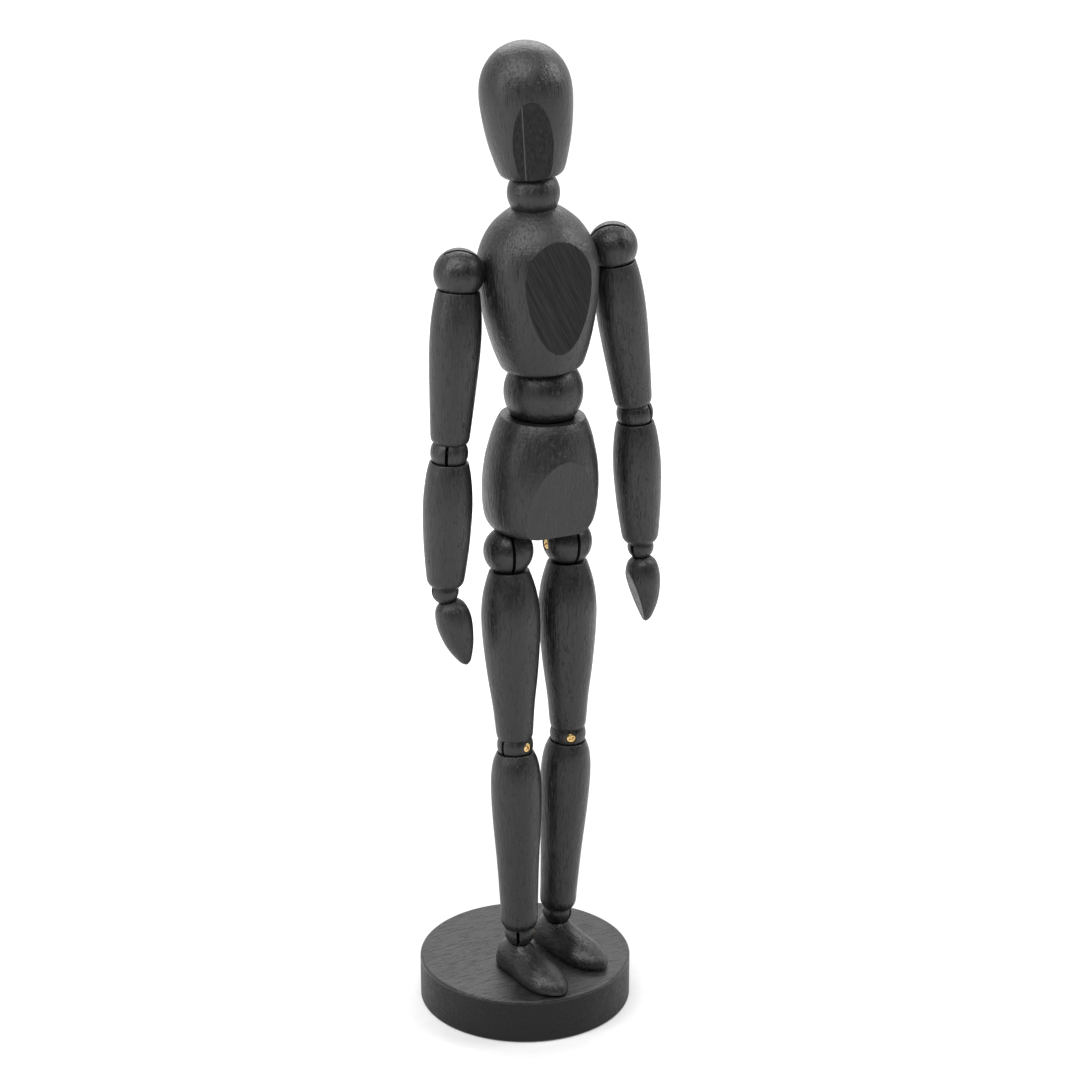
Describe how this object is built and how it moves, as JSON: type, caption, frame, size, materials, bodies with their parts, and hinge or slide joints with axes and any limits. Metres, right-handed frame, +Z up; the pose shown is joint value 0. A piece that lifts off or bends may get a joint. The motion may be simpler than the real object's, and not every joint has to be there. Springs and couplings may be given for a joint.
{
  "type": "jointed artist mannequin",
  "caption": "Black lacquered wooden lay figure on a round base disc, with turned limbs on slotted ball joints held together by springs inside.",
  "frame": {"origin": "centre of the base disc's flat underside", "axes": "+Z up, -Y ahead of the pelvis, -X to the figure's own right"},
  "size_m": [0.0849, 0.0732, 0.3301],
  "materials": {
    "black_lacquered_wood": "black satin lacquer over fine straight grain",
    "brass_screw": "bright turned brass",
    "spring_steel": "drawn spring wire"
  },
  "bodies": {
    "base": {"base_disc": "black_lacquered_wood", "foot_screw": "spring_steel", "foot_right": "black_lacquered_wood"},
    "ankle_right": {"foot_eye_right": "spring_steel", "ankle_ball_right": "black_lacquered_wood", "ankle_pin_right": "brass_screw"},
    "shin_right": {"shin_right": "black_lacquered_wood", "shin_spring_right": "spring_steel"},
    "knee_right": {"knee_ball_right": "black_lacquered_wood", "knee_pin_right": "brass_screw"},
    "thigh_right": {"thigh_right": "black_lacquered_wood", "thigh_spring_right": "spring_steel"},
    "hip_right": {"hip_ball_right": "black_lacquered_wood", "hip_pin_right": "brass_screw"},
    "pelvis": {"pelvis": "black_lacquered_wood", "hip_wire": "spring_steel"},
    "hip_left": {"hip_ball_left": "black_lacquered_wood", "hip_pin_left": "brass_screw"},
    "thigh_left": {"thigh_left": "black_lacquered_wood", "thigh_spring_left": "spring_steel"},
    "knee_left": {"knee_ball_left": "black_lacquered_wood", "knee_pin_left": "brass_screw"},
    "shin_left": {"shin_left": "black_lacquered_wood", "shin_spring_left": "spring_steel"},
    "ankle_left": {"ankle_ball_left": "black_lacquered_wood", "ankle_pin_left": "brass_screw", "foot_eye_left": "spring_steel"},
    "foot_left": {"foot_left": "black_lacquered_wood"},
    "waist_core": {"spine_spring": "spring_steel"},
    "waist_ball": {"waist_ball": "black_lacquered_wood"},
    "torso": {"torso": "black_lacquered_wood"},
    "neck_core": {"neck_spring": "spring_steel"},
    "neck_ball": {"neck_ball": "black_lacquered_wood"},
    "head": {"head": "black_lacquered_wood"},
    "shoulder_link_right": {"shoulder_spring_right": "spring_steel"},
    "upper_arm_right": {"shoulder_ball_right": "black_lacquered_wood", "shoulder_pin_right": "brass_screw", "upper_arm_right": "black_lacquered_wood", "upper_arm_spring_right": "spring_steel"},
    "elbow_right": {"elbow_ball_right": "black_lacquered_wood", "elbow_pin_right": "brass_screw"},
    "forearm_right": {"forearm_right": "black_lacquered_wood", "forearm_spring_right": "spring_steel"},
    "wrist_right": {"wrist_ball_right": "black_lacquered_wood", "wrist_pin_right": "brass_screw"},
    "palm_link_right": {"hand_eye_right": "spring_steel"},
    "hand_right": {"hand_right": "black_lacquered_wood"},
    "shoulder_link_left": {"shoulder_spring_left": "spring_steel"},
    "upper_arm_left": {"shoulder_ball_left": "black_lacquered_wood", "shoulder_pin_left": "brass_screw", "upper_arm_left": "black_lacquered_wood", "upper_arm_spring_left": "spring_steel"},
    "elbow_left": {"elbow_ball_left": "black_lacquered_wood", "elbow_pin_left": "brass_screw"},
    "forearm_left": {"forearm_left": "black_lacquered_wood", "forearm_spring_left": "spring_steel"},
    "wrist_left": {"wrist_ball_left": "black_lacquered_wood", "wrist_pin_left": "brass_screw"},
    "palm_link_left": {"hand_eye_left": "spring_steel"},
    "hand_left": {"hand_left": "black_lacquered_wood"}
  },
  "joints": [
    {"name": "foot_turn_right", "type": "hinge", "parent": "base", "child": "ankle_right", "pos_m": [-0.00841, -0.01186, 0.03046], "axis": [0, 0, 1], "range_deg": [-30, 60]},
    {"name": "ankle_swivel_right", "type": "hinge", "parent": "ankle_right", "child": "shin_right", "pos_m": [-0.00841, -0.01186, 0.03046], "axis": [0, 0, 1], "range_deg": [-30, 60], "deforming": ["shin_spring_right"]},
    {"name": "knee_bend_right", "type": "hinge", "parent": "shin_right", "child": "knee_right", "pos_m": [-0.00759, -0.00739, 0.09781], "axis": [0.3091, -0.9497, 0.0512], "range_deg": [0, 45], "deforming": ["shin_spring_right"]},
    {"name": "knee_swivel_right", "type": "hinge", "parent": "knee_right", "child": "thigh_right", "pos_m": [-0.00759, -0.00739, 0.09781], "axis": [0, 0, 1], "range_deg": [-20, 60], "deforming": ["thigh_spring_right"]},
    {"name": "hip_bend_right", "type": "hinge", "parent": "thigh_right", "child": "hip_right", "pos_m": [-0.0083, -0.00455, 0.16555], "axis": [0.9703, -0.2419, 0.0101], "range_deg": [0, 60], "deforming": ["thigh_spring_right"]},
    {"name": "hip_swivel_right", "type": "hinge", "parent": "hip_right", "child": "pelvis", "pos_m": [-0.0083, -0.00455, 0.16555], "axis": [0, 0, 1], "range_deg": [-20, 45], "deforming": ["hip_wire"]},
    {"name": "hip_swivel_left", "type": "hinge", "parent": "pelvis", "child": "hip_left", "pos_m": [0.0138, -0.00455, 0.16535], "axis": [0, 0, 1], "range_deg": [-30, 45], "deforming": ["hip_wire"]},
    {"name": "hip_bend_left", "type": "hinge", "parent": "hip_left", "child": "thigh_left", "pos_m": [0.0138, -0.00455, 0.16535], "axis": [0.9998, -0.0175, -0.0033], "range_deg": [-75, 0], "deforming": ["thigh_spring_left"]},
    {"name": "knee_swivel_left", "type": "hinge", "parent": "thigh_left", "child": "knee_left", "pos_m": [0.01333, -0.00632, 0.09758], "axis": [0, 0, 1], "range_deg": [-35, 60], "deforming": ["thigh_spring_left"]},
    {"name": "knee_bend_left", "type": "hinge", "parent": "knee_left", "child": "shin_left", "pos_m": [0.01333, -0.00632, 0.09758], "axis": [-0.3091, -0.951, 0.0009], "range_deg": [0, 45], "deforming": ["shin_spring_left"]},
    {"name": "ankle_swivel_left", "type": "hinge", "parent": "shin_left", "child": "ankle_left", "pos_m": [0.01086, -0.00373, 0.03017], "axis": [0, 0, 1], "range_deg": [-30, 60], "deforming": ["shin_spring_left"]},
    {"name": "foot_turn_left", "type": "hinge", "parent": "ankle_left", "child": "foot_left", "pos_m": [0.01086, -0.00373, 0.03017], "axis": [0, 0, 1], "range_deg": [-30, 60]},
    {"name": "waist_turn", "type": "hinge", "parent": "pelvis", "child": "waist_core", "pos_m": [0.00321, -0.00733, 0.21852], "axis": [0.0087, -0.0523, 0.9986], "range_deg": [-60, 60], "deforming": ["spine_spring"]},
    {"name": "waist_nod", "type": "hinge", "parent": "waist_core", "child": "waist_ball", "pos_m": [0.00321, -0.00733, 0.21852], "axis": [0.9972, -0.0731, -0.0125], "range_deg": [-30, 30], "deforming": ["spine_spring"]},
    {"name": "waist_tilt", "type": "hinge", "parent": "waist_ball", "child": "torso", "pos_m": [0.00321, -0.00733, 0.21852], "axis": [0.0737, 0.9959, 0.0515], "range_deg": [-5, 8], "deforming": ["spine_spring"]},
    {"name": "neck_turn", "type": "hinge", "parent": "torso", "child": "neck_core", "pos_m": [-0.00253, -0.01129, 0.28335], "axis": [-0.0881, -0.0607, 0.9943], "range_deg": [-80, 80], "deforming": ["neck_spring"]},
    {"name": "neck_nod", "type": "hinge", "parent": "neck_core", "child": "neck_ball", "pos_m": [-0.00253, -0.01129, 0.28335], "axis": [0.9202, -0.3826, 0.0822], "range_deg": [-30, 30], "deforming": ["neck_spring"]},
    {"name": "neck_tilt", "type": "hinge", "parent": "neck_ball", "child": "head", "pos_m": [-0.00253, -0.01129, 0.28335], "axis": [0.3797, 0.9238, 0.0499], "range_deg": [-25, 25], "deforming": ["neck_spring"]},
    {"name": "shoulder_swing_right", "type": "hinge", "parent": "torso", "child": "shoulder_link_right", "pos_m": [-0.02695, -0.00792, 0.25967], "axis": [0.9935, -0.0778, 0.0832], "range_deg": [-90, 90], "deforming": ["shoulder_spring_right"]},
    {"name": "shoulder_raise_right", "type": "hinge", "parent": "shoulder_link_right", "child": "upper_arm_right", "pos_m": [-0.02695, -0.00792, 0.25967], "axis": [0.0723, 0.9951, 0.0672], "range_deg": [0, 150], "deforming": ["shoulder_spring_right"]},
    {"name": "elbow_swivel_right", "type": "hinge", "parent": "upper_arm_right", "child": "elbow_right", "pos_m": [-0.03056, -0.00681, 0.20239], "axis": [0.0628, -0.0192, 0.9978], "range_deg": [-90, 90], "deforming": ["upper_arm_spring_right"]},
    {"name": "elbow_bend_right", "type": "hinge", "parent": "elbow_right", "child": "forearm_right", "pos_m": [-0.03056, -0.00681, 0.20239], "axis": [0.8176, -0.5734, -0.0524], "range_deg": [-50, 50], "deforming": ["forearm_spring_right"]},
    {"name": "wrist_swivel_right", "type": "hinge", "parent": "forearm_right", "child": "wrist_right", "pos_m": [-0.03178, -0.0051, 0.15564], "axis": [0.0262, -0.0366, 0.999], "range_deg": [-90, 90], "deforming": ["forearm_spring_right"]},
    {"name": "wrist_bend_right", "type": "hinge", "parent": "wrist_right", "child": "palm_link_right", "pos_m": [-0.03178, -0.0051, 0.15564], "axis": [-0.0901, -0.9956, 0.0237], "range_deg": [-50, 15]},
    {"name": "hand_turn_right", "type": "hinge", "parent": "palm_link_right", "child": "hand_right", "pos_m": [-0.03178, -0.0051, 0.15564], "axis": [-0.2322, 0.1028, 0.9672], "range_deg": [-90, 90]},
    {"name": "shoulder_swing_left", "type": "hinge", "parent": "torso", "child": "shoulder_link_left", "pos_m": [0.0257, -0.01204, 0.26408], "axis": [0.9935, -0.0778, 0.0832], "range_deg": [-90, 90], "deforming": ["shoulder_spring_left"]},
    {"name": "shoulder_raise_left", "type": "hinge", "parent": "shoulder_link_left", "child": "upper_arm_left", "pos_m": [0.0257, -0.01204, 0.26408], "axis": [0.0723, 0.9951, 0.0672], "range_deg": [-150, 0], "deforming": ["shoulder_spring_left"]},
    {"name": "elbow_swivel_left", "type": "hinge", "parent": "upper_arm_left", "child": "elbow_left", "pos_m": [0.03596, -0.01004, 0.20764], "axis": [-0.1787, -0.0349, 0.9833], "range_deg": [-90, 90], "deforming": ["upper_arm_spring_left"]},
    {"name": "elbow_bend_left", "type": "hinge", "parent": "elbow_left", "child": "forearm_left", "pos_m": [0.03596, -0.01004, 0.20764], "axis": [0.8492, 0.5149, 0.1171], "range_deg": [-50, 50], "deforming": ["forearm_spring_left"]},
    {"name": "wrist_swivel_left", "type": "hinge", "parent": "forearm_left", "child": "wrist_left", "pos_m": [0.03914, -0.00963, 0.16095], "axis": [-0.068, -0.0087, 0.9976], "range_deg": [-90, 90], "deforming": ["forearm_spring_left"]},
    {"name": "wrist_bend_left", "type": "hinge", "parent": "wrist_left", "child": "palm_link_left", "pos_m": [0.03914, -0.00963, 0.16095], "axis": [0.3236, -0.9453, 0.04], "range_deg": [-50, 35]},
    {"name": "hand_turn_left", "type": "hinge", "parent": "palm_link_left", "child": "hand_left", "pos_m": [0.03914, -0.00963, 0.16095], "axis": [-0.0662, 0.0471, 0.9967], "range_deg": [-90, 90]}
  ]
}
